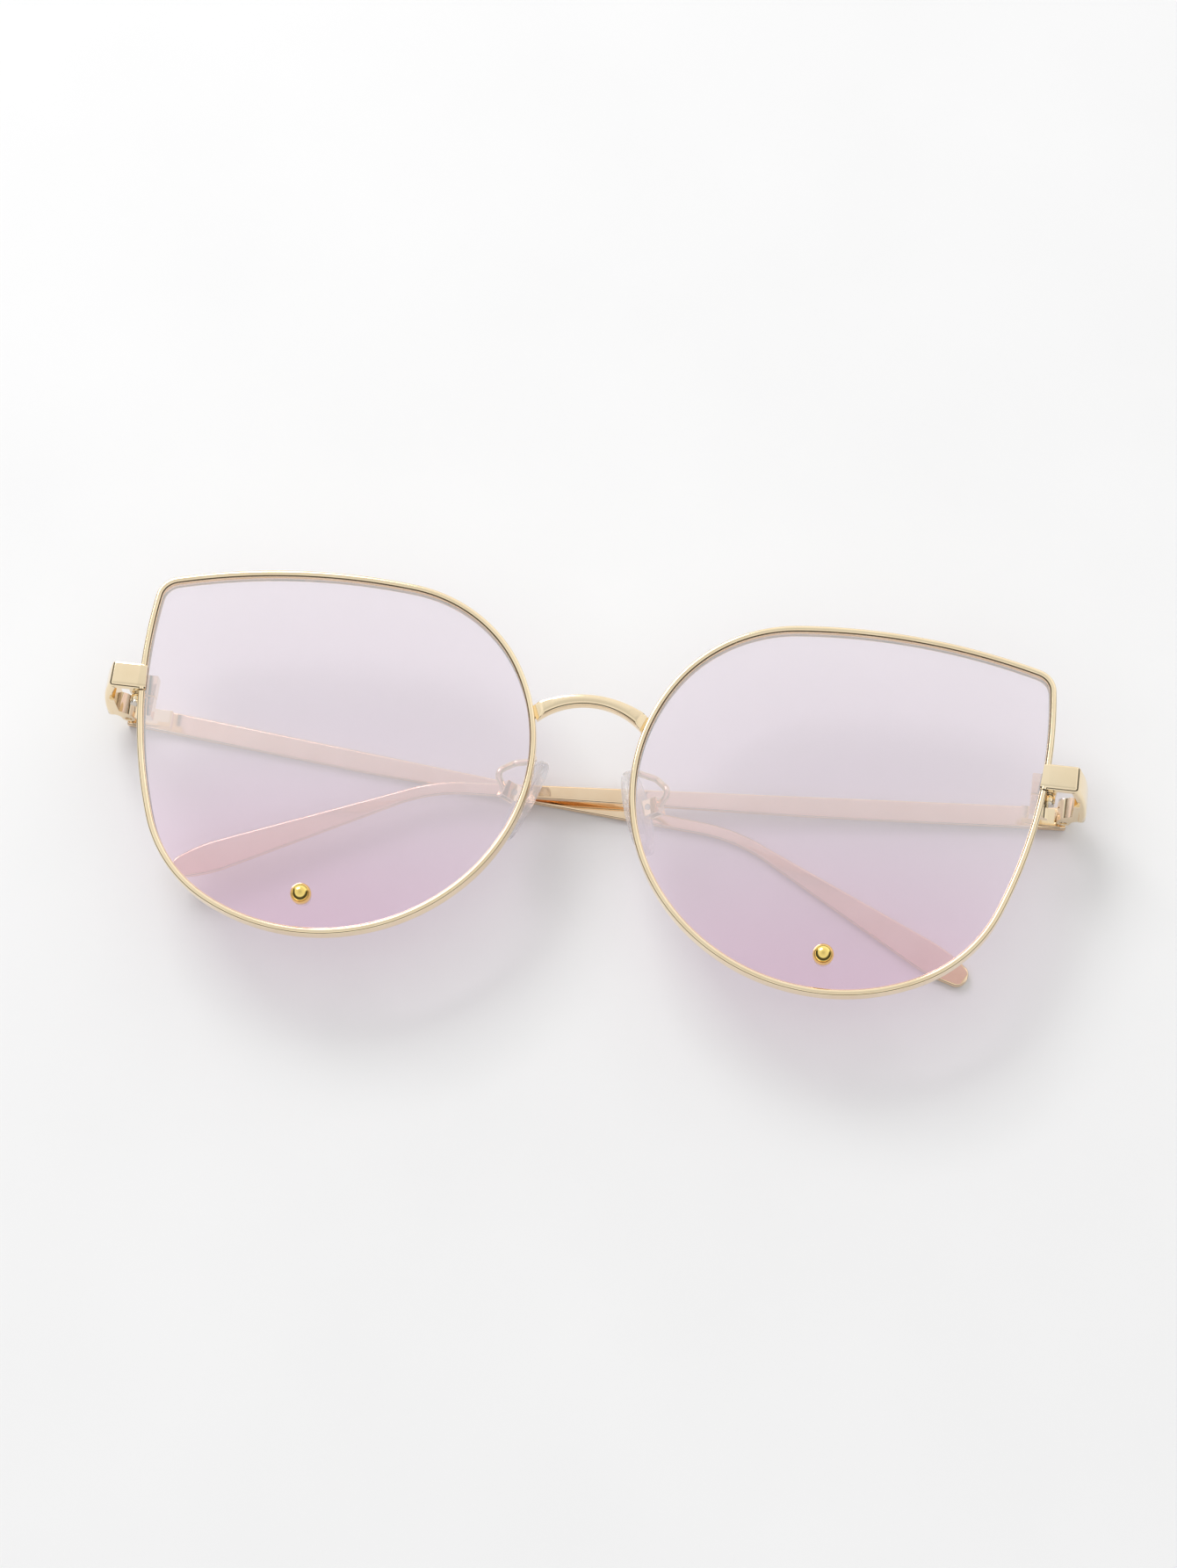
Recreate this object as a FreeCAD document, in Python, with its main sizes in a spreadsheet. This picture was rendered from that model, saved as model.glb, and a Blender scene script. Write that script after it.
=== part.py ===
import FreeCAD, Part
import math
import os
import re

import Sketcher

# Cat eye sunglasses, lying face up with both temples folded behind the lenses.
# X is across the face, Y is up the face, Z points out of the lenses. The origin is
# the middle of the underside, which rests on the outer face of the folded left temple.
# Every piece with a right and a left copy is drawn on the right (+X) and mirrored,
# apart from the temples, which fold to different heights so that they can cross.

V = FreeCAD.Vector
X_AXIS, Y_AXIS, Z_AXIS = V(1, 0, 0), V(0, 1, 0), V(0, 0, 1)
FLAT = FreeCAD.Rotation()
TOP_VIEW = FreeCAD.Rotation(X_AXIS, 90)  # sketch x, y become X, Z
SIDE_VIEW = FreeCAD.Rotation(V(1, 1, 1), 120)  # sketch x, y become Y, Z

doc = FreeCAD.newDocument("sunglasses")
sheet = doc.addObject("Spreadsheet::Sheet", "dims")

# Millimetres and degrees. A "depth" is measured back from the front face of the rims.
DIMENSIONS = [
    ("front_z", 15.2, "height of the rims' front face above the table"),
    ("brow_x", 39.4, "lens opening, brow arc centre"),
    ("brow_y", -70.8, ""),
    ("brow_radius", 98.4, ""),
    ("nasal_x", 36.7, "lens opening, nose side arc centre"),
    ("nasal_y", 1.6, ""),
    ("nasal_radius", 28.5, ""),
    ("cheek_x", 38.309, "lens opening, bottom arc centre, in line with the nose side's"),
    ("cheek_y", 3.1004, ""),
    ("cheek_radius", 30.7, ""),
    ("outer_x", -8.9, "lens opening, temple side arc centre"),
    ("outer_y", 14.7, ""),
    ("outer_radius", 76.4, ""),
    ("shoulder_fillet", 22.6, "brow arc into nose side"),
    ("jaw_fillet", 21.3, "bottom arc into temple side"),
    ("tip_fillet", 2.6, "temple side into brow arc, the cat eye corner"),
    ("rim_width", 1.0, "rim, seen from the front"),
    ("rim_depth", 2.4, "rim, front to back"),
    ("rim_bevel", 0.28, "bevel on the rim's edges"),
    ("groove_width", 0.45, "lens groove, into the rim"),
    ("groove_front", 0.62, "depth where the lens groove starts"),
    ("groove_back", 1.98, "depth where the lens groove ends"),
    ("lens_width", 0.42, "how far the lens reaches into the groove"),
    ("lens_front", 0.65, "depth of the lens front"),
    ("lens_back", 1.95, "depth of the lens back"),
    ("stud_x", 38.34, "ball stud place"),
    ("stud_y", -22.5, ""),
    ("ball_radius", 1.55, ""),
    ("ball_rise", -0.4, "ball centre above the rim front"),
    ("shank_radius", 0.65, "stud shank through the lens"),
    ("cap_radius", 1.3, "cap that holds the shank behind the lens"),
    ("cap_length", 0.6, ""),
    ("glue_gap", 0.02, "room round a shank or screw in a fixed piece"),
    ("bridge_top", 13.5, "bridge arch, top at the middle"),
    ("bridge_top_radius", 14.6, ""),
    ("bridge_bottom", 11.45, "bridge arch, underside at the middle"),
    ("bridge_bottom_radius", 11.6, ""),
    ("bridge_reach", 9.6, "half length before the rims cut it"),
    ("bridge_depth", 2.0, "bridge, front to back"),
    ("bridge_bevel", 0.35, ""),
    ("foot_x", 7.5, "rounded feet that join the bridge to the rims"),
    ("foot_y", 9.8, ""),
    ("foot_radius", 1.6, ""),
    ("foot_front", 0.9, ""),
    ("strap_start", 65.0, "endpiece strap, before the lens opening cuts it"),
    ("strap_end", 71.2, "where the strap starts to turn back"),
    ("strap_wall", 1.2, ""),
    ("strap_seat", 0.5, "how deep the strap is let into the front of the rim"),
    ("corner_radius", 3.0, "outer corner of the endpiece, along each side"),
    ("corner_sweep", 3.15, "radius of its arc"),
    ("corner_inner", 1.85, ""),
    ("arm_wall", 1.1, ""),
    ("arm_end_x", 74.8, "outer face of the endpiece at its back end"),
    ("arm_lean", 0.5, "how far the arm leans out towards its back end"),
    ("arm_depth", 11.0, "back end of the endpiece"),
    ("strap_top", 10.4, ""),
    ("strap_bottom", 6.45, ""),
    ("arm_top", 9.2, ""),
    ("arm_bottom", 5.7, ""),
    ("lock_inner", 65.9, "rim lock, side over the lens"),
    ("lock_outer", 69.6, ""),
    ("lock_top", 9.6, ""),
    ("lock_split", 6.3, "where the rim and the lock are split"),
    ("lock_bottom", 3.1, ""),
    ("lock_back", 4.4, ""),
    ("slit", 0.24, "gap at the split"),
    ("lock_screw_x", 68.65, ""),
    ("lock_screw_depth", 2.7, ""),
    ("lock_screw_radius", 0.45, ""),
    ("lock_head_radius", 0.78, ""),
    ("lock_screw_inset", 0.4, "lock screw's end, in from the top of the lock"),
    ("lock_head_length", 0.5, ""),
    ("barrel_radius", 0.85, "lower lock's barrel round the screw"),
    ("barrel_length", 0.9, ""),
    ("hinge_x", 71.6, "temple hinge axis"),
    ("hinge_y", 7.3, ""),
    ("hinge_depth", 12.0, ""),
    ("knuckle_radius", 1.05, ""),
    ("knuckle_stack", 3.2, "three knuckles, top to bottom"),
    ("knuckle_slot", 1.3, "room for the temple's knuckle"),
    ("knuckle_height", 1.1, "the temple's knuckle"),
    ("slot_radius", 1.35, ""),
    ("leaf_start", 4.6, "depth where the front leaf starts"),
    ("leaf_wall", 0.85, ""),
    ("leaf_lean", 0.42, "how far the leaf starts in from the arm's end"),
    ("leaf_turn", 9.0, "depth where the front leaf starts to curve in"),
    ("leaf_sweep", 3.4, "radius of that curve"),
    ("leaf_heel", 1.4, "radius of its outer end"),
    ("leaf_end", 10.7, "depth where the front leaf turns to the knuckles"),
    ("hinge_screw_radius", 0.5, ""),
    ("screw_inset", 0.2, "hinge screw's end, in from the last knuckle"),
    ("hinge_head_radius", 0.95, ""),
    ("hinge_head_length", 0.5, ""),
    ("running_gap", 0.05, "room round a screw that a piece turns on"),
    ("temple_wall", 1.1, "temple strip thickness"),
    ("temple_back", 3.2, "outer face of the temple from the hinge axis"),
    ("temple_butt", 0.5, "how far the temple passes its hinge axis"),
    ("left_slope", 5.6, "degrees the left temple drops from its hinge"),
    ("right_slope", 4.8, "degrees the right temple drops from its hinge"),
    ("temple_root", 3.5, "strip height at the hinge"),
    ("temple_middle", 3.2, "strip height where it starts to narrow"),
    ("middle_start", 38.0, "along the strip, where it starts to narrow"),
    ("temple_waist", 1.85, "strip height at the ear bend"),
    ("paddle_height", 4.7, "strip height where the paddle is widest"),
    ("bend_start", 90.0, "along the strip, where the ear bend starts"),
    ("bend_radius", 27.0, "ear bend, at the middle of the strip"),
    ("bend_angle", 21.4, "degrees"),
    ("tail_length", 35.9, "from the end of the ear bend to the tip"),
    ("paddle_widest", 28.5, "where the paddle is widest, from the end of the ear bend"),
    ("paddle_round", 19.0, "radius of the paddle's sides near the tip"),
    ("tip_round", 1.77, "round tip of the temple"),
    ("tip_half", 1.7, "half height where the round tip starts"),
    ("tip_reach", 1.3, "length of the round tip"),
    ("temple_bevel", 0.25, ""),
    ("inner_fold", 1.7, "degrees that the right temple folds past the left one"),
    ("temple_leaf_wall", 0.7, ""),
    ("temple_leaf_length", 6.3, ""),
    ("leaf_inset", 0.2, "start of the temple leaf from the hinge axis"),
    ("temple_leaf_height", 2.7, ""),
    ("leaf_drop", 0.35, "middle of the leaf below the hinge axis line"),
    ("tongue_length", 1.15, ""),
    ("pad_x", 9.2, "nose pad, middle of its back face"),
    ("pad_y", -1.9, ""),
    ("pad_depth", 6.5, ""),
    ("pad_frontal", 18.0, "degrees the pad leans in at the top"),
    ("pad_splay", 26.0, "degrees the pad opens towards the face"),
    ("pad_half_height", 6.8, ""),
    ("pad_half_width", 3.6, ""),
    ("pad_end_radius", 2.6, "round ends of the pad"),
    ("pad_wall", 1.5, ""),
    ("pad_round", 0.6, ""),
    ("lug_wall", 0.8, ""),
    ("lug_radius", 0.9, ""),
    ("pivot_back", 1.5, "pad screw, behind the pad's back face"),
    ("pad_screw_radius", 0.4, ""),
    ("pad_head_radius", 0.7, ""),
    ("pad_head_length", 0.35, ""),
    ("box_room", 0.3, "room between the lug and the pad box"),
    ("box_wall", 0.45, ""),
    ("box_half_length", 1.2, ""),
    ("box_front", 0.6, "from the pad's back face to the box"),
    ("pad_wire_radius", 0.5, ""),
    ("pad_wire_y", 3.3, "where the pad arm leaves the rim"),
    ("pad_wire_bend", 1.1, "bend radius of the pad arm"),
    ("pad_wire_run", 1.7, "first run of the pad arm, back from the rim"),
]
for row, (alias, value, note) in enumerate(DIMENSIONS, start=1):
    sheet.set("A%d" % row, str(value))
    sheet.setAlias("A%d" % row, alias)
    sheet.set("B%d" % row, note or alias.replace("_", " "))
doc.recompute()


def size(expression):
    """The value of an expression in the sheet's words, as a plain number."""
    value = sheet.evalExpression(expression)
    return getattr(value, "Value", value)


def named(text):
    """The same expression for another object to read: each of the sheet's words gets its name."""
    words = {alias for alias, value, note in DIMENSIONS}
    return re.sub(r"[a-z]\w*", lambda m: "dims." * (m[0] in words) + m[0], text)


def bind(thing, **expressions):
    """Bind properties to expressions in the sheet's words."""
    for name, text in expressions.items():
        thing.setExpression(name, named(text))
    return thing


def place(thing, x="0", y="0", z="0", turn=FLAT):
    """Put a piece at a point given by expressions."""
    thing.Placement = FreeCAD.Placement(V(size(x), size(y), size(z)), turn)
    for axis, text in (("x", x), ("y", y), ("z", z)):
        thing.setExpression("Placement.Base." + axis, named(text))
    return thing


def add(kind, label, **properties):
    thing = doc.addObject(kind, label)
    thing.Label = label
    for name, value in properties.items():
        setattr(thing, name, value)
    return thing


def fix_point(sketch, edge, end, x, y):
    """Hold one end of an edge, or an arc's centre, at a point given by expressions."""
    for kind, text in (("DistanceX", x), ("DistanceY", y)):
        if text is None:
            continue
        held = sketch.addConstraint(Sketcher.Constraint(kind, -1, 1, edge, end, size(text)))
        sketch.setExpression("Constraints[%d]" % held, named(text))


def draw(sketch, corners, mirror=False):
    """Draw a closed outline. A corner is (x, y) or (x, y, radius): a radius makes the side
    that follows it an arc, bulging to the right of the way round, or to the left if negative."""
    if mirror:
        corners = [("-(%s)" % c[0], *c[1:]) for c in corners]
    ends = []
    for here, there in zip(corners, corners[1:] + corners[:1]):
        start = V(size(here[0]), size(here[1]), 0)
        end = V(size(there[0]), size(there[1]), 0)
        if len(here) == 2:
            edge = sketch.addGeometry(Part.LineSegment(start, end), False)
            ends.append((edge, 1, 2, here))
            continue
        radius = size(here[2])
        across = (end - start).cross(Z_AXIS).normalize() * (-1 if mirror else 1)
        middle = (start + end) / 2
        sagitta = abs(radius) - math.sqrt(radius**2 - (end - start).Length ** 2 / 4)
        sagitta = math.copysign(sagitta, radius)
        arc = Part.Arc(start, middle + across * sagitta, end).toShape().Curve
        first, last = arc.parameter(start), arc.parameter(end)
        if arc.Axis.z < 0:
            arc = Part.Circle(arc.Center, Z_AXIS, arc.Radius)
            first, last = arc.parameter(end), arc.parameter(start)
        edge = sketch.addGeometry(Part.ArcOfCircle(arc, first, last), False)
        forward = (arc.value(first) - start).Length < (arc.value(last) - start).Length
        ends.append((edge, 1, 2, here) if forward else (edge, 2, 1, here))
        held = sketch.addConstraint(Sketcher.Constraint("Radius", edge, abs(radius)))
        sketch.setExpression("Constraints[%d]" % held, named("abs(%s)" % here[2]))
    for (edge, start, end, here), (next_edge, next_start, _, _) in zip(ends, ends[1:] + ends[:1]):
        sketch.addConstraint(Sketcher.Constraint("Coincident", edge, end, next_edge, next_start))
        fix_point(sketch, edge, start, here[0], here[1])
    return sketch


def sketch_at(label, corners, z="front_z", turn=FLAT, mirror=False):
    sketch = place(add("Sketcher::SketchObject", label), z=z, turn=turn)
    return draw(sketch, corners, mirror)


def extrude(label, base, direction, start, end):
    """Extrude an outline from one distance to another along a direction."""
    solid = add("Part::Extrusion", label, Base=base, DirMode="Custom", Dir=direction, Solid=True)
    return bind(solid, LengthFwd=end, LengthRev="-(%s)" % start)


def cut(label, base, tool):
    return add("Part::Cut", label, Base=base, Tool=tool)


def fuse(label, *shapes):
    return add("Part::MultiFuse", label, Shapes=list(shapes))


def box(label, x, y, z):
    """A box between two expressions along each axis."""
    block = add("Part::Box", label)
    bind(block, Length="%s - (%s)" % (x[1], x[0]), Width="%s - (%s)" % (y[1], y[0]))
    bind(block, Height="%s - (%s)" % (z[1], z[0]))
    return place(block, x[0], y[0], z[0])


def rod(label, radius, length, x, y, z, turn=FLAT):
    """A cylinder from a point, along Z unless it is turned."""
    return place(bind(add("Part::Cylinder", label), Radius=radius, Height=length), x, y, z, turn)


ALONG_Y = FreeCAD.Rotation(X_AXIS, -90)
ALONG_X = FreeCAD.Rotation(Y_AXIS, 90)
nodes = []


def node(piece, label):
    """Name a finished right-hand or middle piece and keep it."""
    piece.Label = label
    nodes.append(piece)
    return piece


def node_pair(piece, name):
    """Keep a right-hand piece and its mirror image on the left."""
    node(piece, "right_" + name)
    nodes.append(add("Part::Mirroring", "left_" + name, Source=piece, Normal=X_AXIS))


# ---- lens opening: four main arcs and the three fillets between them, all tangent ----


def toward(start, end):
    return math.degrees(math.atan2(end.y - start.y, end.x - start.x)) % 360


def fillet_between(first, second, radius, near):
    """Centre of a fillet inside two circles, each (centre, radius), on the side near a point."""
    (a, ra), (b, rb) = first, second
    ra, rb, gap = ra - radius, rb - radius, (b - a).Length
    along = (ra**2 - rb**2 + gap**2) / (2 * gap)
    across = math.sqrt(ra**2 - along**2)
    axis = (b - a).normalize()
    foot = a + axis * along
    side = V(-axis.y, axis.x, 0) * across
    return min((foot + side, foot - side), key=lambda c: (c - near).Length)


def lens_outline(label):
    """Sketch the right lens opening, anticlockwise. The arcs are held tangent, with their
    radii and the main centres bound to the sheet."""
    centre = {}
    for name in ("brow", "nasal", "cheek", "outer"):
        centre[name] = V(size(name + "_x"), size(name + "_y"), 0)
    circle = {name: (point, size(name + "_radius")) for name, point in centre.items()}
    fillets = {
        "shoulder": fillet_between(circle["brow"], circle["nasal"], size("shoulder_fillet"), V(0, 10, 0)),
        "jaw": fillet_between(circle["cheek"], circle["outer"], size("jaw_fillet"), V(60, -20, 0)),
        "tip": fillet_between(circle["outer"], circle["brow"], size("tip_fillet"), V(70, 30, 0)),
    }
    for name, point in fillets.items():
        circle[name] = (point, size(name + "_fillet"))
    order = ["brow", "shoulder", "nasal", "cheek", "jaw", "outer", "tip"]
    joins = []
    for name, after in zip(order, order[1:] + order[:1]):
        small, large = sorted((circle[name], circle[after]), key=lambda c: c[1])
        joins.append(toward(large[0], small[0]))
    sketch = place(add("Sketcher::SketchObject", label), z="front_z")
    for index, name in enumerate(order):
        point, radius = circle[name]
        start, end = math.radians(joins[index - 1]), math.radians(joins[index])
        arc = Part.ArcOfCircle(Part.Circle(point, Z_AXIS, radius), start, end)
        edge = sketch.addGeometry(arc, False)
        held = sketch.addConstraint(Sketcher.Constraint("Radius", edge, radius))
        word = name + ("_fillet" if name in fillets else "_radius")
        sketch.setExpression("Constraints[%d]" % held, named(word))
        if name in centre:
            fix_point(sketch, edge, 3, name + "_x", None if name == "cheek" else name + "_y")
    for edge in range(len(order)):
        sketch.addConstraint(Sketcher.Constraint("Tangent", edge, 2, (edge + 1) % len(order), 1))
    return sketch


def wider(outline, label, amount):
    """The outline moved outwards."""
    wire = add("Part::Offset2D", label, Source=outline)
    return bind(wire, Value=amount)


BACK = V(0, 0, -1)
opening = lens_outline("lens_opening")
rim_edge = wider(opening, "rim_edge", "rim_width")
groove_edge = wider(opening, "groove_edge", "groove_width")
lens_edge = wider(opening, "lens_edge", "lens_width")


def rim_space(label, front="-rim_depth"):
    """Everything inside the rim's outer face, to cut the pieces that are soldered to it."""
    return extrude(label, rim_edge, BACK, front, "rim_depth")


# ---- rim: bevelled ring with a lens groove, split at the rim lock ----

rim_block = extrude("rim_block", rim_edge, BACK, "0", "rim_depth")
rim_hole = extrude("rim_hole", opening, BACK, "-1", "rim_depth + 1")
ring = cut("rim_ring", rim_block, rim_hole)
doc.recompute()
bevel = size("rim_bevel")
flat_edges = []
for index, edge in enumerate(ring.Shape.Edges, start=1):
    if edge.BoundBox.ZLength < bevel / 10:
        flat_edges.append((index, bevel, bevel))
bevelled = add("Part::Chamfer", "rim_bevelled", Base=ring, Edges=flat_edges)
groove = extrude("lens_groove", groove_edge, BACK, "groove_front", "groove_back")
split = box(
    "rim_split",
    ("lock_inner - rim_width", "lock_outer + rim_width"),
    ("lock_split - slit / 2", "lock_split + slit / 2"),
    ("front_z - rim_depth - 1", "front_z + 1"),
)
seat = box(
    "strap_seat_box",
    ("strap_start", "lock_outer + rim_width"),
    ("strap_bottom", "strap_top"),
    ("front_z - strap_seat", "front_z + 1"),
)
rim_open = cut("rim_open", cut("rim_grooved", bevelled, groove), split)
node_pair(cut("rim_seated", rim_open, seat), "rim")

# ---- lens, flat, drilled for the stud ----

lens_blank = extrude("lens_blank", lens_edge, BACK, "lens_front", "lens_back")
STUD_HOLE = "shank_radius + glue_gap"
lens_drill = rod("lens_drill", STUD_HOLE, "2 * lens_back", "stud_x", "stud_y", "front_z - 1.5 * lens_back")
node_pair(cut("lens_drilled", lens_blank, lens_drill), "lens")

# ---- ball stud, its shank through the lens, and the cap behind ----

ball = bind(add("Part::Sphere", "ball"), Radius="ball_radius")
place(ball, "stud_x", "stud_y", "front_z + ball_rise")
ball_seat = box(
    "ball_seat",
    ("stud_x - 2 * ball_radius", "stud_x + 2 * ball_radius"),
    ("stud_y - 2 * ball_radius", "stud_y + 2 * ball_radius"),
    ("front_z - lens_front - 3 * ball_radius", "front_z - lens_front"),
)
shank_back = "front_z - lens_back - cap_length"
shank = rod("shank", "shank_radius", "ball_rise + lens_back + cap_length", "stud_x", "stud_y", shank_back)
node_pair(fuse("ball_and_shank", cut("ball_flat", ball, ball_seat), shank), "ball_stud")
cap_disc = rod("cap_disc", "cap_radius", "cap_length", "stud_x", "stud_y", shank_back)
cap_hole_back = shank_back + " - cap_length"
cap_hole = rod("cap_hole", STUD_HOLE, "3 * cap_length", "stud_x", "stud_y", cap_hole_back)
node_pair(cut("cap_ring", cap_disc, cap_hole), "stud_cap")

# ---- bridge: arched bar and two rounded feet, cut to the rims ----


def arch_end(top, radius):
    """Height of an arch at the end of the bar."""
    return "%s - %s + sqrt(%s ^ 2 - bridge_reach ^ 2)" % (top, radius, radius)


high, low = arch_end("bridge_top", "bridge_top_radius"), arch_end("bridge_bottom", "bridge_bottom_radius")
arch = draw(
    place(add("Sketcher::SketchObject", "bridge_arch"), z="front_z"),
    [
        ("bridge_reach", low),
        ("bridge_reach", high, "bridge_top_radius"),
        ("-bridge_reach", high),
        ("-bridge_reach", low, "-bridge_bottom_radius"),
    ],
)
bar = extrude("bridge_bar", arch, BACK, "0", "bridge_depth")
doc.recompute()
arch_edges = []
for index, edge in enumerate(bar.Shape.Edges, start=1):
    if edge.BoundBox.ZLength < 0.01 and edge.Length > size("bridge_reach"):
        arch_edges.append((index, size("bridge_bevel"), size("bridge_bevel")))
bridge_bar = add("Part::Chamfer", "bridge_bevelled", Base=bar, Edges=arch_edges)
feet = []
for side in ("", "-"):
    foot_back = "front_z - rim_depth"
    foot = rod("bridge_foot", "foot_radius", "rim_depth - foot_front", side + "foot_x", "foot_y", foot_back)
    feet.append(foot)
right_space = rim_space("bridge_rim_space")
left_space = add("Part::Mirroring", "bridge_left_rim_space", Source=right_space, Normal=X_AXIS)
bridge_blank = fuse("bridge_blank", bridge_bar, *feet)
node(cut("bridge_cut", bridge_blank, fuse("both_rim_spaces", right_space, left_space)), "bridge")

# ---- endpiece: strap across the rim, turned back into the side arm ----

plan = sketch_at(
    "endpiece_plan",
    [
        ("strap_start", "-strap_wall"),
        ("strap_end", "-strap_wall", "-corner_inner"),
        ("arm_end_x - arm_wall - arm_lean", "-strap_wall - corner_inner"),
        ("arm_end_x - arm_wall", "-arm_depth"),
        ("arm_end_x", "-arm_depth"),
        ("arm_end_x - arm_lean", "-corner_radius", "corner_sweep"),
        ("strap_end", "0"),
        ("strap_start", "0"),
    ],
    turn=TOP_VIEW,
)
elevation = sketch_at(
    "endpiece_elevation",
    [
        ("strap_bottom", "1"),
        ("strap_bottom", "-strap_wall"),
        ("arm_bottom", "-arm_depth - 1"),
        ("arm_top", "-arm_depth - 1"),
        ("strap_top", "-strap_wall"),
        ("strap_top", "1"),
    ],
    turn=SIDE_VIEW,
)
plan_solid = extrude("endpiece_plan_solid", plan, Y_AXIS, "0", "2 * strap_top")
elevation_solid = extrude("endpiece_elevation_solid", elevation, X_AXIS, "strap_start / 2", "2 * arm_end_x")
endpiece_whole = add("Part::Common", "endpiece_whole", Base=plan_solid, Tool=elevation_solid)
lens_space = extrude("endpiece_lens_space", opening, BACK, "-rim_depth", "rim_depth")
endpiece_outside = cut("endpiece_outside", endpiece_whole, rim_space("endpiece_rim_space", "strap_seat"))
node_pair(cut("endpiece_cut", endpiece_outside, lens_space), "endpiece")

# ---- rim lock: two blocks behind the rim's ends, pulled together by a screw ----

LOCK_AXIS = ("lock_screw_x", "front_z - lock_screw_depth")


def lock_rod(label, radius, start, length):
    return rod(label, radius, length, LOCK_AXIS[0], start, LOCK_AXIS[1], ALONG_Y)


lock_z = ("front_z - lock_back", "front_z - strap_wall")
upper_y = ("lock_split + slit / 2", "lock_top")
upper_block = box("upper_block", ("lock_inner", "lock_outer"), upper_y, lock_z)
upper_bore = lock_rod("upper_bore", "lock_screw_radius + glue_gap", "lock_split - 1", "lock_top")
upper_trim = cut("upper_trim", upper_block, rim_space("upper_rim_space"))
lower_y = ("lock_bottom", "lock_split - slit / 2")
behind_z = ("front_z - lock_back", "front_z - rim_depth")
lower_block = box("lower_block", ("lock_inner", "lock_screw_x"), lower_y, behind_z)
barrel_start = "lock_split - slit / 2 - barrel_length"
lower_barrel = lock_rod("lower_barrel", "barrel_radius", barrel_start, "barrel_length")
lower_bore = lock_rod("lower_bore", "lock_screw_radius + glue_gap", "0", "lock_split + 1")
head_start = barrel_start + " - lock_head_length"
head_room = lock_rod("head_room", "barrel_radius + 0.05", "0", barrel_start)
lower_whole = fuse("lower_whole", cut("lower_cleared", lower_block, head_room), lower_barrel)
lower_trim = cut("lower_trim", lower_whole, rim_space("lower_rim_space"))
node_pair(cut("upper_drilled", upper_trim, upper_bore), "rim_lock_upper")
node_pair(cut("lower_drilled", lower_trim, lower_bore), "rim_lock_lower")
lock_shank_length = "lock_top - lock_screw_inset - (%s)" % barrel_start
lock_shank = lock_rod("lock_shank", "lock_screw_radius", barrel_start, lock_shank_length)
lock_head = lock_rod("lock_head", "lock_head_radius", head_start, "lock_head_length")
node_pair(fuse("lock_screw_whole", lock_shank, lock_head), "rim_lock_screw")

# ---- front hinge leaf: a plate on the inside of the arm that curves to two knuckles ----

STACK = ("hinge_y - knuckle_stack / 2", "hinge_y + knuckle_stack / 2")


def hinge_rod(label, radius, start, end):
    """A cylinder round the hinge axis between two heights."""
    length = "%s - (%s)" % (end, start)
    return rod(label, radius, length, "hinge_x", start, "front_z - hinge_depth", ALONG_Y)


leaf_plan = sketch_at(
    "front_leaf_plan",
    [
        ("arm_end_x - arm_wall - leaf_lean", "-leaf_start"),
        ("arm_end_x - arm_wall - leaf_wall - leaf_lean", "-leaf_start"),
        ("arm_end_x - arm_wall - leaf_wall - 0.7 * leaf_lean", "-leaf_turn", "leaf_sweep"),
        ("hinge_x - knuckle_radius", "-hinge_depth"),
        ("hinge_x + knuckle_radius", "-hinge_depth", "-leaf_heel"),
        ("arm_end_x - arm_wall - glue_gap", "-leaf_end"),
    ],
    turn=TOP_VIEW,
)
leaf_solid = extrude("front_leaf_solid", leaf_plan, Y_AXIS, STACK[0], STACK[1])
front_knuckles = hinge_rod("front_knuckles", "knuckle_radius", *STACK)
leaf_with_knuckles = fuse("leaf_with_knuckles", leaf_solid, front_knuckles)
SLOT = ("hinge_y - knuckle_slot / 2", "hinge_y + knuckle_slot / 2")
leaf_slot = hinge_rod("leaf_slot", "slot_radius", *SLOT)
THROUGH = ("hinge_y - knuckle_stack", "hinge_y + knuckle_stack")
leaf_bore = hinge_rod("leaf_bore", "hinge_screw_radius + glue_gap", *THROUGH)
leaf_slotted = cut("leaf_slotted", leaf_with_knuckles, leaf_slot)
node_pair(cut("leaf_bored", leaf_slotted, leaf_bore), "front_hinge")
screw_shank = hinge_rod("hinge_shank", "hinge_screw_radius", STACK[0] + " + screw_inset", STACK[1])
screw_head = hinge_rod("hinge_head", "hinge_head_radius", STACK[1], STACK[1] + " + hinge_head_length")
node_pair(fuse("hinge_screw_whole", screw_shank, screw_head), "hinge_screw")


# ---- body helpers ----


def origin_plane(body, role):
    return next(plane for plane in body.Origin.OriginFeatures if plane.Role == role)


def body_sketch(body, label, role, corners, lift="0", mirror=False):
    """An outline on one of the body's own planes, lifted along the plane's normal."""
    sketch = body.newObject("Sketcher::SketchObject", label)
    sketch.AttachmentSupport = [(origin_plane(body, role), "")]
    sketch.MapMode = "FlatFace"
    sketch.AttachmentOffset = FreeCAD.Placement(V(0, 0, size(lift)), FLAT)
    sketch.setExpression("AttachmentOffset.Base.z", named(lift))
    return draw(sketch, corners, mirror)


def pad_out(body, label, sketch, length, midplane=False):
    pad = body.newObject("PartDesign::Pad", label)
    pad.Profile = sketch
    pad.SideType = "Symmetric" if midplane else "One side"
    return bind(pad, Length=length)


def faces_across(feature, axis):
    """Names of a solid's two flat end faces along an axis."""
    middle = feature.Shape.BoundBox.Center.dot(axis)
    names = []
    for index, face in enumerate(feature.Shape.Faces, start=1):
        flat = abs(abs(face.normalAt(0, 0).dot(axis)) - 1) < 1e-6
        if flat and abs(face.CenterOfMass.dot(axis) - middle) > 0.01:
            names.append("Face%d" % index)
    return names


def dress(body, kind, label, base, names, **expressions):
    """A fillet or chamfer round the edges of the named faces."""
    feature = body.newObject(kind, label)
    feature.Base = (base, names)
    return bind(feature, **expressions)


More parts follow.
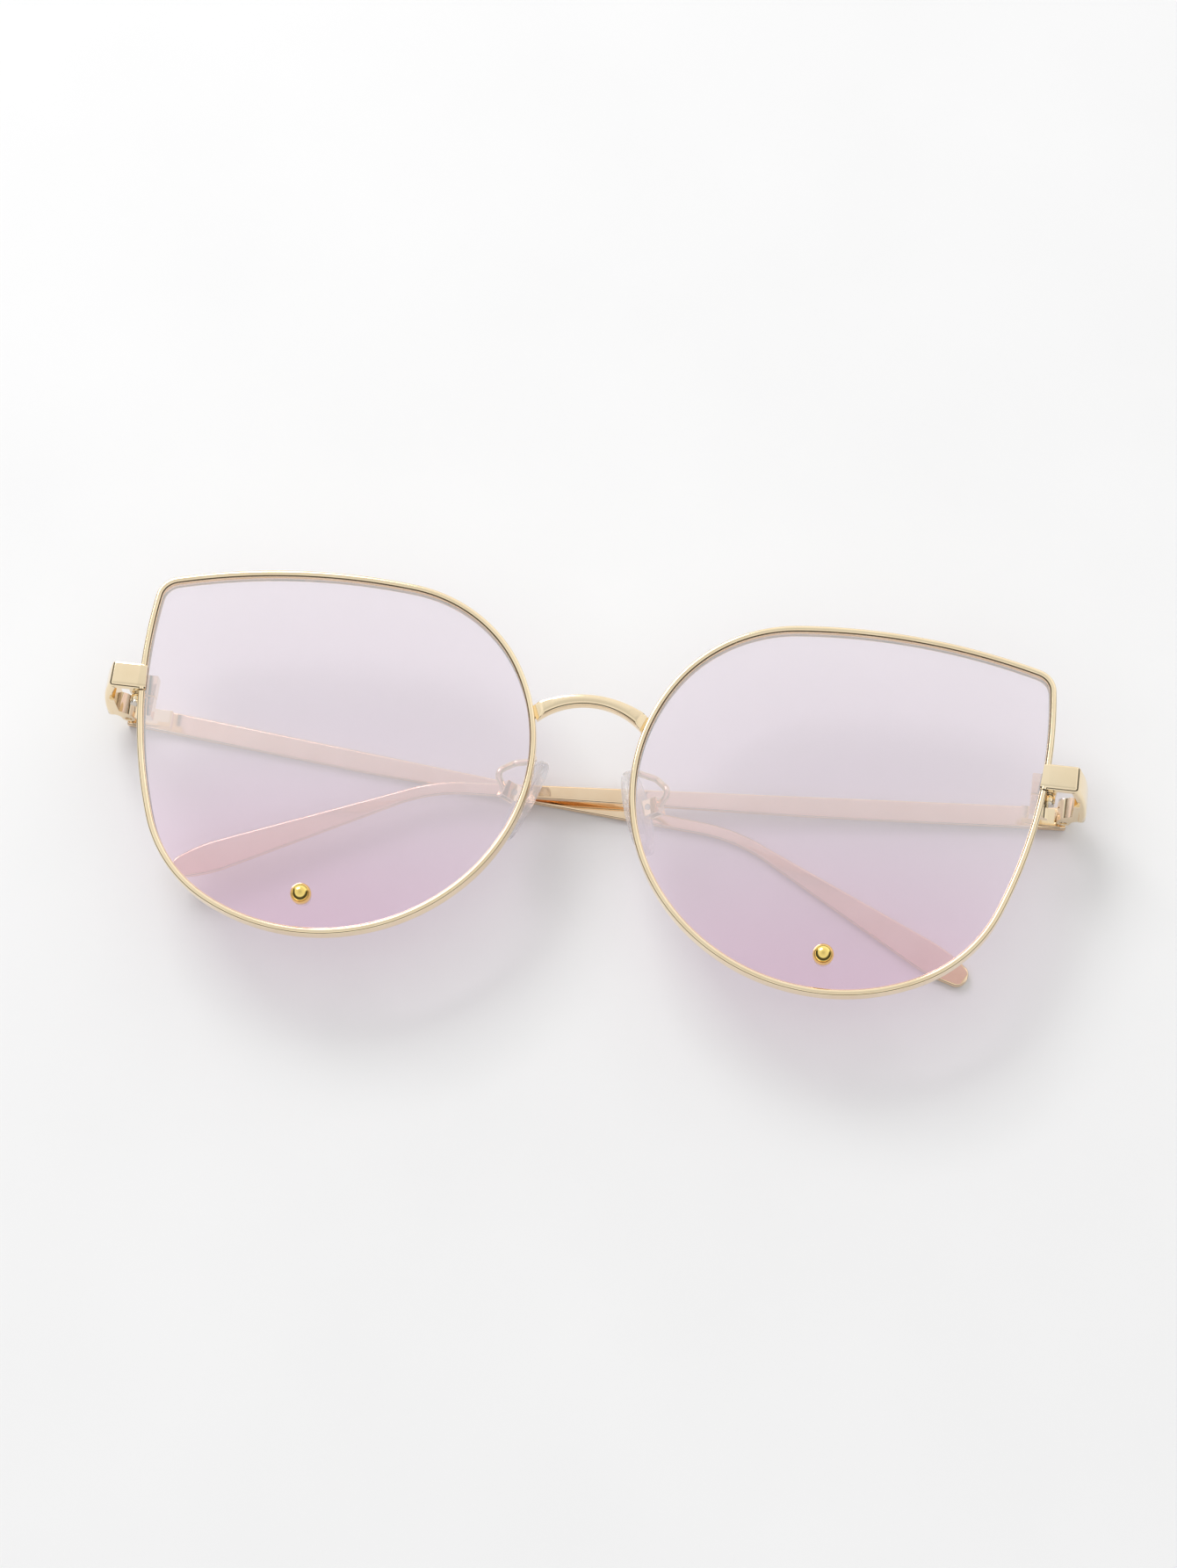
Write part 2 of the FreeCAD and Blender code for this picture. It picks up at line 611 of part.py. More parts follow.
# ---- nose pads: drawn facing local +Z, local X towards the front, local Y up ----

PAD_TURN = FreeCAD.Rotation(Z_AXIS, size("pad_frontal"))
PAD_TURN = PAD_TURN.multiply(FreeCAD.Rotation(Y_AXIS, -90 - size("pad_splay")))
SIDE_RADIUS = (
    "((pad_half_height - pad_end_radius) ^ 2 + pad_half_width ^ 2 - pad_end_radius ^ 2)"
    " / (2 * (pad_half_width - pad_end_radius))"
)
JOIN_RATIO = "pad_end_radius / (%s - pad_end_radius)" % SIDE_RADIUS
JOIN_X = "%s * (%s - pad_half_width)" % (JOIN_RATIO, SIDE_RADIUS)
JOIN_Y = "(pad_half_height - pad_end_radius) * (1 + %s)" % JOIN_RATIO


def at_pad(piece):
    return place(piece, "pad_x", "pad_y", "front_z - pad_depth", PAD_TURN)


oval = [
    (JOIN_X, "-(%s)" % JOIN_Y, SIDE_RADIUS),
    (JOIN_X, JOIN_Y, "pad_end_radius"),
    ("-(%s)" % JOIN_X, JOIN_Y, SIDE_RADIUS),
    ("-(%s)" % JOIN_X, "-(%s)" % JOIN_Y, "pad_end_radius"),
]
nose_pad = add("PartDesign::Body", "nose_pad")
plate = pad_out(nose_pad, "pad_plate", body_sketch(nose_pad, "pad_oval", "XY_Plane", oval), "pad_wall")
doc.recompute()
rims = faces_across(plate, Z_AXIS)
dress(nose_pad, "PartDesign::Fillet", "pad_rounded", plate, rims, Radius="pad_round")
lug = [
    ("lug_radius", "-pivot_back"),
    ("lug_radius", "pad_wall / 2"),
    ("-lug_radius", "pad_wall / 2"),
    ("-lug_radius", "-pivot_back", "lug_radius + 0.001"),
]
pad_out(nose_pad, "pad_lug", body_sketch(nose_pad, "lug_side", "YZ_Plane", lug), "lug_wall", midplane=True)
pivot_hole = nose_pad.newObject("Sketcher::SketchObject", "pivot_circle")
pivot_hole.AttachmentSupport = [(origin_plane(nose_pad, "YZ_Plane"), "")]
pivot_hole.MapMode = "FlatFace"
hole_radius = size("pad_screw_radius + running_gap")
circle = Part.Circle(V(0, -size("pivot_back"), 0), Z_AXIS, hole_radius)
edge = pivot_hole.addGeometry(circle, False)
held = pivot_hole.addConstraint(Sketcher.Constraint("Radius", edge, hole_radius))
pivot_hole.setExpression("Constraints[%d]" % held, named("pad_screw_radius + running_gap"))
fix_point(pivot_hole, edge, 3, "0", "-pivot_back")
drilled = nose_pad.newObject("PartDesign::Pocket", "pad_drilled")
drilled.Profile = pivot_hole
drilled.SideType = "Symmetric"
bind(drilled, Length="3 * lug_wall")
node_pair(at_pad(nose_pad), "nose_pad")

BOX_HALF = "(lug_wall / 2 + box_room + box_wall)"
BOX_BACK = "-(pivot_back + lug_radius + box_room + box_wall)"


def pad_box_block(label):
    y = ("-box_half_length", "box_half_length")
    return box(label, ("-" + BOX_HALF, BOX_HALF), y, (BOX_BACK, "-box_front"))


def pivot_rod(label, radius, start, end):
    """A cylinder along the pad's pivot between two places on it."""
    return rod(label, radius, "%s - (%s)" % (end, start), start, "0", "-pivot_back", ALONG_X)


cavity = box(
    "pad_box_cavity",
    ("-lug_wall / 2 - box_room", "lug_wall / 2 + box_room"),
    ("-2 * box_half_length", "2 * box_half_length"),
    (BOX_BACK + " + box_wall", "0"),
)
channel = cut("pad_channel", pad_box_block("pad_box_block"), cavity)
pivot_bore = pivot_rod("pad_box_bore", "pad_screw_radius + glue_gap", "-2 * " + BOX_HALF, "2 * " + BOX_HALF)
node_pair(at_pad(cut("pad_box_bored", channel, pivot_bore)), "pad_box")
pin = pivot_rod("pad_pin", "pad_screw_radius", "-" + BOX_HALF, BOX_HALF)
pin_head = pivot_rod("pad_pin_head", "pad_head_radius", "-%s - pad_head_length" % BOX_HALF, "-" + BOX_HALF)
node_pair(at_pad(fuse("pad_pin_whole", pin, pin_head)), "pad_screw")


# ---- pad arms: round wire from the back of the rim, curled out to the pad box ----


def bent_wire(points, bend):
    """Straight runs joined by tangent arcs of one radius."""
    edges, last = [], points[0]
    for before, here, after in zip(points, points[1:], points[2:]):
        into, out = (before - here).normalize(), (after - here).normalize()
        half = into.getAngle(out) / 2
        reach = bend / math.tan(half)
        start, end = here + into * reach, here + out * reach
        middle = here + (into + out).normalize() * (bend / math.sin(half) - bend)
        edges += [Part.LineSegment(last, start).toShape(), Part.Arc(start, middle, end).toShape()]
        last = end
    return Part.Wire(edges + [Part.LineSegment(last, points[-1]).toShape()])


arm_x = size("nasal_x - sqrt((nasal_radius + rim_width / 2) ^ 2 - (pad_wire_y - nasal_y) ^ 2)")
arm_start = V(arm_x, size("pad_wire_y"), size("front_z - rim_depth"))
arm_turn = arm_start - Z_AXIS * size("pad_wire_run")
pad_frame = FreeCAD.Placement(V(size("pad_x"), size("pad_y"), size("front_z - pad_depth")), PAD_TURN)
arm_points = [
    arm_start,
    arm_turn,
    arm_turn + V(3.0, -0.2, -1.3),
    pad_frame.multVec(V(0.6, 1.4, size(BOX_BACK) - 2.1)),
    pad_frame.multVec(V(0, 0, size(BOX_BACK) + size("box_wall") / 2)),
]
arm_path = bent_wire(arm_points, size("pad_wire_bend"))
arm_ring = Part.Wire(Part.makeCircle(size("pad_wire_radius"), arm_start, Z_AXIS))
arm_wire = add("Part::Feature", "pad_arm_wire")
arm_wire.Shape = arm_path.makePipeShell([arm_ring], True, True)
box_space = add("Part::Compound", "pad_box_space", Links=[pad_box_block("pad_box_space_block")])
node_pair(cut("pad_arm_cut", arm_wire, at_pad(box_space)), "pad_arm")


# ---- temples: drawn from the hinge axis towards +X, as the left one lies when folded ----


def along_strip(slope, along, across):
    """A point on the straight part of the strip, as two expressions."""
    x = "(%s) * cos(%s) + (%s) * sin(%s)" % (along, slope, across, slope)
    y = "(%s) * cos(%s) - (%s) * sin(%s)" % (across, slope, along, slope)
    return x, y


WAIST_MIDDLE = "(temple_root - temple_waist) / 2"


def along_tail(slope, along, across):
    """A point on the strip behind the ear bend, as two expressions."""
    angle = "(%s + bend_angle)" % slope
    start_x, start_y = along_strip(slope, "bend_start", WAIST_MIDDLE)
    x = "%s + bend_radius * (sin(%s) - sin(%s))" % (start_x, angle, slope)
    y = "%s + bend_radius * (cos(%s) - cos(%s))" % (start_y, angle, slope)
    x += " + (%s) * cos(%s) + (%s) * sin(%s)" % (along, angle, across, angle)
    y += " + (%s) * cos(%s) - (%s) * sin(%s)" % (across, angle, along, angle)
    return x, y


def strip_outline(slope):
    """The temple's outline: straight top edge, narrowing to the ear bend, then a widening paddle."""
    waist_low = "temple_root / 2 - temple_waist"
    tip_start = "tail_length - tip_reach"
    return [
        along_strip(slope, "-temple_butt", "-temple_root / 2"),
        along_strip(slope, "middle_start", "temple_root / 2 - temple_middle"),
        (*along_strip(slope, "bend_start", waist_low), "-(bend_radius - temple_waist / 2)"),
        along_tail(slope, "0", "-temple_waist / 2"),
        (*along_tail(slope, "paddle_widest", "-paddle_height / 2"), "paddle_round"),
        (*along_tail(slope, tip_start, "-tip_half"), "tip_round"),
        (*along_tail(slope, tip_start, "tip_half"), "paddle_round"),
        along_tail(slope, "paddle_widest", "paddle_height / 2"),
        (*along_tail(slope, "0", "temple_waist / 2"), "bend_radius + temple_waist / 2"),
        along_strip(slope, "bend_start", "temple_root / 2"),
        along_strip(slope, "-temple_butt", "temple_root / 2"),
    ]


def at_hinge(piece, mirror):
    """Put a temple piece on its hinge axis. The right temple folds further, over the left."""
    fold = FreeCAD.Rotation(Y_AXIS, size("inner_fold") if mirror else 0)
    return place(piece, "hinge_x" if mirror else "-hinge_x", "hinge_y", "front_z - hinge_depth", fold)


def temple(side, mirror):
    body = add("PartDesign::Body", side + "_temple")
    corners = strip_outline(side + "_slope")
    outline = body_sketch(body, side + "_strip", "XY_Plane", corners, "-temple_back", mirror)
    solid = pad_out(body, side + "_strip_solid", outline, "temple_wall")
    doc.recompute()
    faces = faces_across(solid, Z_AXIS)
    dress(body, "PartDesign::Chamfer", side + "_strip_bevelled", solid, faces, Size="temple_bevel")
    nodes.append(at_hinge(body, mirror))


def temple_hinge(side, mirror):
    """A plate on the inside of the strip, a tongue and the middle knuckle."""
    plate_z = ("temple_wall - temple_back", "temple_wall - temple_back + temple_leaf_wall")
    low_y, high_y = "-temple_leaf_height / 2 - leaf_drop", "temple_leaf_height / 2 - leaf_drop"
    start, end = ("-temple_leaf_length", "-leaf_inset") if mirror else ("leaf_inset", "temple_leaf_length")
    plate = box(side + "_leaf_plate", (start, end), (low_y, high_y), plate_z)
    reach = ("-tongue_length", "0") if mirror else ("0", "tongue_length")
    low, high = "-knuckle_height / 2", "knuckle_height / 2"
    tongue = box(side + "_tongue", reach, (low, high), (plate_z[0], "0"))
    knuckle = rod(side + "_knuckle", "knuckle_radius", "knuckle_height", "0", low, "0", ALONG_Y)
    hole = "hinge_screw_radius + running_gap"
    bore = rod(side + "_bore", hole, "3 * knuckle_height", "0", "3 * (%s)" % low, "0", ALONG_Y)
    whole = fuse(side + "_leaf_whole", plate, tongue, knuckle)
    leaf = cut(side + "_temple_hinge", whole, bore)
    nodes.append(at_hinge(leaf, mirror))


for side, mirror in (("right", True), ("left", False)):
    temple(side, mirror)
    temple_hinge(side, mirror)


# ---- check every piece, then write it ----

doc.recompute()
for thing in doc.Objects:
    if "Invalid" in thing.State or "Error" in thing.State:
        raise RuntimeError("%s did not build: %s" % (thing.Label, thing.State))
for piece in nodes:
    if piece.Shape.isNull() or not piece.Shape.isValid() or not piece.Shape.Solids:
        raise RuntimeError("%s has no sound shape" % piece.Label)
os.makedirs("parts", exist_ok=True)
for piece in nodes:
    piece.Shape.exportStep(os.path.join("parts", piece.Label + ".step"))
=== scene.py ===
import math

import bmesh
import bpy
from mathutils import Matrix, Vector


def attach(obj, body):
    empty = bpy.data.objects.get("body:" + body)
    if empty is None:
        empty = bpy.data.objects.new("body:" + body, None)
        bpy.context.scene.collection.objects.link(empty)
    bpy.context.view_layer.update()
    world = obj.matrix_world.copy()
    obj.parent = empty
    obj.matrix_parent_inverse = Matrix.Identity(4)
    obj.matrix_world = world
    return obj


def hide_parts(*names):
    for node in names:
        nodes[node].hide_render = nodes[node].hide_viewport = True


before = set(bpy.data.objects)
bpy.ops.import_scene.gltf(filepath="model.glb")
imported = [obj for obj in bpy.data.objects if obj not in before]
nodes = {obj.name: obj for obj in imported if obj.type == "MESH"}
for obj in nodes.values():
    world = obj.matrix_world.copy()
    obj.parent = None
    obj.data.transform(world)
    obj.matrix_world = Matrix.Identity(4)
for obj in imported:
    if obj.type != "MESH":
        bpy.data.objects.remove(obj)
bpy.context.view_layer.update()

# ------------------------------------------------------------- camera
camera_data = bpy.data.cameras.new("camera")
camera_data.lens = 70.588
camera_data.sensor_width = 36.0
camera_data.clip_start = 0.01
camera_data.clip_end = 20.0
camera = bpy.data.objects.new("camera", camera_data)
camera.location = (0.041302, -0.152464, 0.440119)
camera.rotation_euler = [math.radians(a) for a in (20.1051, 2.5927, 7.7424)]
bpy.context.scene.collection.objects.link(camera)
bpy.context.scene.camera = camera
bpy.context.scene.view_settings.view_transform = "Standard"


# ------------------------------------------------------------- node helpers
class Tree:
    """A material's node tree, with short ways to add nodes and join them."""

    def __init__(self, material):
        material.use_nodes = True
        self.tree = material.node_tree
        self.tree.nodes.clear()

    def add(self, kind, **values):
        node = self.tree.nodes.new("ShaderNode" + kind)
        for name, value in values.items():
            setattr(node, name, value)
        return node

    def join(self, start, end):
        self.tree.links.new(start, end)

    def noise(self, scale, detail=2.0, stretch=(1.0, 1.0, 1.0)):
        """Noise by object position, in cycles per metre."""
        place = self.add("TexCoord")
        mapping = self.add("Mapping")
        mapping.inputs["Scale"].default_value = [scale * s for s in stretch]
        texture = self.add("TexNoise")
        texture.inputs["Scale"].default_value = 1.0
        texture.inputs["Detail"].default_value = detail
        self.join(place.outputs["Object"], mapping.inputs["Vector"])
        self.join(mapping.outputs["Vector"], texture.inputs["Vector"])
        return texture.outputs["Fac"]

    def ramp(self, value, stops):
        """A colour ramp of (position, (r, g, b)) stops read at value."""
        ramp = self.add("ValToRGB")
        while len(ramp.color_ramp.elements) < len(stops):
            ramp.color_ramp.elements.new(0.5)
        for element, (at, colour) in zip(ramp.color_ramp.elements, stops):
            element.position = at
            element.color = (*colour, 1.0)
        self.join(value, ramp.inputs["Fac"])
        return ramp.outputs["Color"]

    def range(self, value, low, high):
        """value from 0..1 moved to low..high."""
        node = self.add("MapRange")
        node.inputs["To Min"].default_value = low
        node.inputs["To Max"].default_value = high
        self.join(value, node.inputs["Value"])
        return node.outputs["Result"]

    def bump(self, value, distance):
        """A normal roughened by value, distance metres deep."""
        node = self.add("Bump")
        node.inputs["Distance"].default_value = distance
        self.join(value, node.inputs["Height"])
        return node.outputs["Normal"]

    def finish(self, shader):
        self.join(shader, self.add("OutputMaterial").inputs["Surface"])


# Noise scales of the finishes, in cycles per metre, and the depth of the polishing marks in metres.
TINT_SCALE = 160.0
DUST_SCALE = 900.0
POLISH_SCALE = 5200.0
POLISH_STRETCH = (0.25, 1.0, 1.0)
POLISH_DEPTH = 0.35e-6
SMEAR_SCALE = 260.0
# Where a noise's darker and lighter tints sit on its ramp.
DARK_STOP, LIGHT_STOP = 0.3, 0.7


def metal(name, dark, light, rough):
    """Plated metal: a slow change of tint, fine polishing marks and a little dust in the roughness."""
    material = bpy.data.materials.new(name)
    t = Tree(material)
    shader = t.add("BsdfPrincipled")
    shader.inputs["Metallic"].default_value = 1.0
    tint = t.ramp(t.noise(TINT_SCALE, 3.0), [(DARK_STOP, dark), (LIGHT_STOP, light)])
    t.join(tint, shader.inputs["Base Color"])
    t.join(t.range(t.noise(DUST_SCALE, 4.0), rough * 0.6, rough * 1.4), shader.inputs["Roughness"])
    marks = t.bump(t.noise(POLISH_SCALE, 3.0, POLISH_STRETCH), POLISH_DEPTH)
    t.join(marks, shader.inputs["Normal"])
    t.finish(shader.outputs["BSDF"])
    return material


def part_clear(t, shader, clear_tint, share):
    """Finish tree t with share of the shader and the rest let straight through, tinted."""
    clear = t.add("BsdfTransparent")
    clear.inputs["Color"].default_value = (*clear_tint, 1.0)
    mix = t.add("MixShader")
    mix.inputs["Fac"].default_value = share
    t.join(clear.outputs["BSDF"], mix.inputs[1])
    t.join(shader.outputs["BSDF"], mix.inputs[2])
    t.finish(mix.outputs["Shader"])


# The lenses' lower and upper edge, in metres, between which the coat's colour runs from pink at the lower
# edge to near white across the middle and a little grey at the upper edge.
LENS_LOW, LENS_HIGH = -0.028, 0.028


def lens_shader(name, coats, share, clear_tint):
    """A pane that reflects through a tinted coat by the given share and lets the rest through."""
    material = bpy.data.materials.new(name)
    t = Tree(material)
    place = t.add("TexCoord")
    split = t.add("SeparateXYZ")
    t.join(place.outputs["Object"], split.inputs["Vector"])
    height = t.add("MapRange")
    height.inputs["From Min"].default_value = LENS_LOW
    height.inputs["From Max"].default_value = LENS_HIGH
    t.join(split.outputs["Y"], height.inputs["Value"])
    shader = t.add("BsdfPrincipled")
    shader.inputs["Metallic"].default_value = 1.0
    t.join(t.ramp(height.outputs["Result"], coats), shader.inputs["Base Color"])
    t.join(t.range(t.noise(SMEAR_SCALE, 4.0), 0.02, 0.06), shader.inputs["Roughness"])
    part_clear(t, shader, clear_tint, share)
    return material


def clear_plastic(name, colour, rough, scale):
    """Soft clear plastic: glassy with faint milky flow inside, half of it let straight through."""
    material = bpy.data.materials.new(name)
    t = Tree(material)
    shader = t.add("BsdfPrincipled")
    shader.inputs["Transmission Weight"].default_value = 0.55
    shader.inputs["IOR"].default_value = 1.41
    pale = tuple(0.94 * c for c in colour)
    flow = t.ramp(t.noise(scale, 3.0), [(DARK_STOP, pale), (LIGHT_STOP, colour)])
    t.join(flow, shader.inputs["Base Color"])
    t.join(t.range(t.noise(scale * 3.0, 3.0), rough * 0.5, rough * 1.5), shader.inputs["Roughness"])
    part_clear(t, shader, (1.0, 1.0, 1.0), 0.5)
    return material


GOLD = metal("gold_plate", (0.92, 0.75, 0.50), (0.97, 0.82, 0.57), 0.09)
# The temples' gold is a darker, rosier copy of the rim gold: painted shade and a painted pink cast standing
# in for the light that reaches the temples through the lenses.
TEMPLE_GOLD_PAINTED_SHADE = metal("temple_gold", (0.90, 0.68, 0.46), (0.95, 0.76, 0.54), 0.08)
STUD = metal("stud_plate", (0.86, 0.62, 0.16), (0.95, 0.74, 0.26), 0.08)
SCREW = metal("screw_steel", (0.62, 0.58, 0.50), (0.74, 0.70, 0.62), 0.22)
COAT_TINTS = [(0.0, (0.92, 0.68, 0.80)), (0.5, (0.96, 0.96, 0.96)), (1.0, (0.88, 0.89, 0.87))]
BACK_TINTS = [(0.0, (0.90, 0.80, 0.84)), (1.0, (0.93, 0.88, 0.90))]
LENS = lens_shader("mirror_coat_pink", COAT_TINTS, 0.52, (0.99, 0.89, 0.99))
LENS_BACK = lens_shader("lens_back", BACK_TINTS, 0.05, (1.0, 0.97, 1.0))
PAD = clear_plastic("pad_silicone", (0.95, 0.97, 1.0), 0.05, 900.0)
CAP = clear_plastic("cap_plastic", (0.95, 0.96, 0.98), 0.12, 1500.0)
FINISH = {
    "gold_metal": GOLD,
    "stud_gold": STUD,
    "screw_metal": SCREW,
    "mirror_lens": LENS,
    "clear_silicone": PAD,
    "clear_cap": CAP,
}
for node in nodes.values():
    for index, old in enumerate(node.data.materials):
        node.data.materials[index] = FINISH[old.name.split(".")[0]]

# ------------------------------------------------------------- shape helpers, in millimetres
MM = 0.001
SIDES = (("right", 1.0), ("left", -1.0))
FRONT_Z = 15.2


MERGE_DISTANCE = 0.0005


def polar(radius, angle):
    """The point at radius from the origin in the direction angle, in radians."""
    return radius * math.cos(angle), radius * math.sin(angle)


def finish_piece(name, form, material, body, replaced, crease=35.0):
    """Turn a bmesh in millimetres into a piece that rides on a body and stands for a CAD node."""
    bmesh.ops.remove_doubles(form, verts=form.verts, dist=MERGE_DISTANCE)
    bmesh.ops.recalc_face_normals(form, faces=form.faces)
    for vertex in form.verts:
        vertex.co *= MM
    mesh = bpy.data.meshes.new(name)
    form.to_mesh(mesh)
    form.free()
    mesh.materials.append(material)
    mesh.shade_smooth()
    mesh.set_sharp_from_angle(angle=math.radians(crease))
    piece = bpy.data.objects.new(name, mesh)
    bpy.context.scene.collection.objects.link(piece)
    weighted = piece.modifiers.new("even_normals", "WEIGHTED_NORMAL")
    weighted.keep_sharp = True
    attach(piece, body)
    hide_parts(replaced)
    return piece


def loft(rings, side_index=0, end_index=0):
    """A closed bmesh through rings of equally many points, with materials for its side and far end."""
    form = bmesh.new()
    loops = [[form.verts.new(point) for point in ring] for ring in rings]
    count = len(loops[0])
    for first, second in zip(loops, loops[1:]):
        for i in range(count):
            j = (i + 1) % count
            form.faces.new((first[i], first[j], second[j], second[i])).material_index = side_index
    form.faces.new(loops[0])
    form.faces.new(loops[-1]).material_index = end_index
    return form


CORNER_STEPS = 4


def rounded(low, high, front, back, radius):
    """Points round a rectangle with rounded corners, as (across, out) pairs."""
    points = []
    corners = (
        (high - radius, front - radius, 0.0),
        (low + radius, front - radius, 90.0),
        (low + radius, back + radius, 180.0),
        (high - radius, back + radius, 270.0),
    )
    for across, out, start in corners:
        for step in range(CORNER_STEPS + 1):
            dx, dy = polar(radius, math.radians(start + 90.0 * step / CORNER_STEPS))
            points.append((across + dx, out + dy))
    return points


# Arcs of the lens opening: centre, radius, first and last angle, anticlockwise from the outer tip.
OUTLINE = (
    (39.4, -70.8, 98.4, 74.765, 95.892),
    (31.62, 4.60, 22.6, 95.892, 149.442),
    (36.7, 1.6, 28.5, 149.442, 223.0),
    (38.309, 3.1004, 30.7, 223.0, 295.946),
    (42.42, -5.35, 21.3, 295.946, 338.659),
    (-8.9, 14.7, 76.4, -21.341, 5.391),
    (64.57, 21.63, 2.6, 5.391, 74.765),
)
OUTER_ARC = OUTLINE[5]
# The rim's split for its lock: its lower and upper face, and the margin kept free of other stations.
SPLIT_LOW, SPLIT_HIGH = 6.18, 6.42
SPLIT_MARGIN = 0.2
SPLIT_SIDE = 60.0
TIP_START = math.radians(6.0)
RIM_SPACING, LENS_SPACING = 0.9, 0.7


def outline(spacing):
    """Points (x, y, outward angle) all the way round the lens opening, about spacing apart."""
    points = []
    for x, y, radius, start, end in OUTLINE:
        steps = max(8, round(radius * math.radians(end - start) / spacing))
        for step in range(steps):
            angle = math.radians(start + (end - start) * step / steps)
            dx, dy = polar(radius, angle)
            points.append((x + dx, y + dy, angle))
    return points


def split_outline():
    """The outline from just above the rim's split round to just below it."""
    points = outline(RIM_SPACING)
    x, y, radius = OUTER_ARC[:3]
    ends = []
    for edge in (SPLIT_HIGH, SPLIT_LOW):
        angle = math.asin((edge - y) / radius)
        dx, dy = polar(radius, angle)
        ends.append((x + dx, y + dy, angle))
    above = [
        p for p in points if p[0] > SPLIT_SIDE and p[1] > SPLIT_HIGH + SPLIT_MARGIN and p[2] < TIP_START
    ]
    start = points.index(above[0])
    turned = [
        p
        for p in points[start:] + points[:start]
        if not (p[0] > SPLIT_SIDE and SPLIT_LOW - SPLIT_MARGIN < p[1] < SPLIT_HIGH + SPLIT_MARGIN)
    ]
    return [ends[0]] + turned + [ends[1]]


def beside(point, sign, out, depth):
    """A place out from the lens opening at an outline point and depth behind the front face."""
    x, y, angle = point
    dx, dy = polar(out, angle)
    return sign * (x + dx), y + dy, FRONT_Z - depth


# Rim section as (outward from the lens opening, depth behind the front face).
RIM_SECTION = (
    [(0.0, 0.62), (0.0, 0.34), (0.04, 0.24), (0.26, 0.03), (0.34, 0.0), (0.66, 0.0), (0.76, 0.02)]
    + [(0.88, 0.09), (0.96, 0.20), (1.0, 0.34), (1.0, 2.02), (0.97, 2.16), (0.90, 2.29), (0.78, 2.38)]
    + [(0.66, 2.4), (0.34, 2.4), (0.12, 2.33), (0.02, 2.2), (0.0, 2.06), (0.0, 1.98)]
    + [(0.45, 1.98), (0.45, 0.62)]
)
# Lens edge from its front to its back, measured the same way.
LENS_LEVELS = ((0.36, 0.62), (0.40, 0.68), (0.40, 1.90), (0.34, 1.95))


def rim(side, sign):
    """Rim wire with its lens groove, open at the split."""
    rings = [
        [beside(point, sign, out, depth) for out, depth in RIM_SECTION] for point in split_outline()
    ]
    finish_piece(side + "_rim_wire", loft(rings), GOLD, "front", side + "_rim")


def lens(side, sign):
    """Lens pane in the rim's groove: the mirror coat on its front, plain tinted plastic elsewhere."""
    rings = [
        [beside(point, sign, out, depth) for point in outline(LENS_SPACING)] for out, depth in LENS_LEVELS
    ]
    form = loft(rings, side_index=1, end_index=1)
    piece = finish_piece(side + "_lens_pane", form, LENS, "front", side + "_lens")
    piece.data.materials.append(LENS_BACK)


# Strap of the endpiece: how proud of the rim it lies, its y range, and its thickness before and
# after the corner. The arm behind the corner narrows to the hinge.
STRAP_RISE = 0.1
STRAP_LOW, STRAP_HIGH = 6.45, 10.4
STRAP_START, STRAP_MIDDLE, STRAP_TURN = 66.98, 69.0, 72.1
STRAP_WALL, ARM_WALL = 1.25, 1.15
STRAP_SLANT = 0.085
ARM_LENGTH = 11.1
ARM_RAISE, ARM_LOWER = 0.75, 1.2
END_INSET = 0.12
# Where the strap leaves the rim, it steps from the seat's depth to the full thickness.
SEAT_DEPTH, STEP_DEPTH = 0.58, 1.3
SEAT_END, STEP_END = 68.15, 68.35
# Stations round the strap's corner and down the arm: x, drop behind the strap's face, and the
# outward direction in degrees from +X towards +Z.
CORNER = (
    (72.2, 0.02, 78.0),
    (72.52, 0.2, 55.0),
    (72.66, 0.42, 30.0),
    (73.05, 1.4, 22.0),
    (73.55, 2.7, 19.0),
    (74.0, 4.2, 14.0),
    (74.4, 6.2, 9.0),
    (74.65, 8.4, 5.0),
    (74.78, 10.9, 3.0),
    (74.8, 11.1, 3.0),
)


def seat_ring(ring, x, deepest):
    """The strap's section at x, with its back no deeper than deepest, to lie over the rim."""
    return [(x, y, max(z, FRONT_Z + STRAP_RISE - deepest)) for _, y, z in ring]


def endpiece(side, sign):
    """Strap over the rim, a tight turned corner, and the arm that runs back to the hinge."""
    top = FRONT_Z + STRAP_RISE
    path = [(x, top, 90.0, STRAP_LOW, STRAP_HIGH) for x in (STRAP_START, STRAP_MIDDLE, STRAP_TURN)]
    for x, drop, angle in CORNER:
        share = min(1.0, drop / ARM_LENGTH)
        path.append((x, top - drop, angle, STRAP_LOW - ARM_RAISE * share, STRAP_HIGH - ARM_LOWER * share))
    rings = []
    for index, (x, z, angle, low, high) in enumerate(path):
        across, out = polar(1.0, math.radians(angle))
        wall = STRAP_WALL if x <= STRAP_TURN else ARM_WALL
        shrink = END_INSET if index in (0, len(path) - 1) else 0.0
        middle = (low + high) / 2
        ring = []
        for y, depth in strap_section(low, high, wall):
            y = middle + (y - middle) * (1.0 - shrink / 2)
            depth = min(max(depth, shrink), wall - shrink)
            if index == 0:
                slant = STRAP_SLANT * (y - low)
                ring.append((sign * (x + slant), y, z - min(depth, SEAT_DEPTH)))
            else:
                ring.append((sign * (x - across * depth), y, z - out * depth))
        rings.append(ring)
    seat = [
        seat_ring(rings[1], sign * SEAT_END, SEAT_DEPTH),
        seat_ring(rings[1], sign * STEP_END, STEP_DEPTH),
    ]
    rings = rings[:1] + seat + rings[1:]
    finish_piece(side + "_endpiece_strap", loft(rings), GOLD, "front", side + "_endpiece")


# Rounding of the lower edge of the strap and the bridge, and the narrow bevel above.
EDGE_ROUND, EDGE_SINK = 0.58, 0.02
EDGE_STEPS = 6
BACK_BEVEL = 0.1


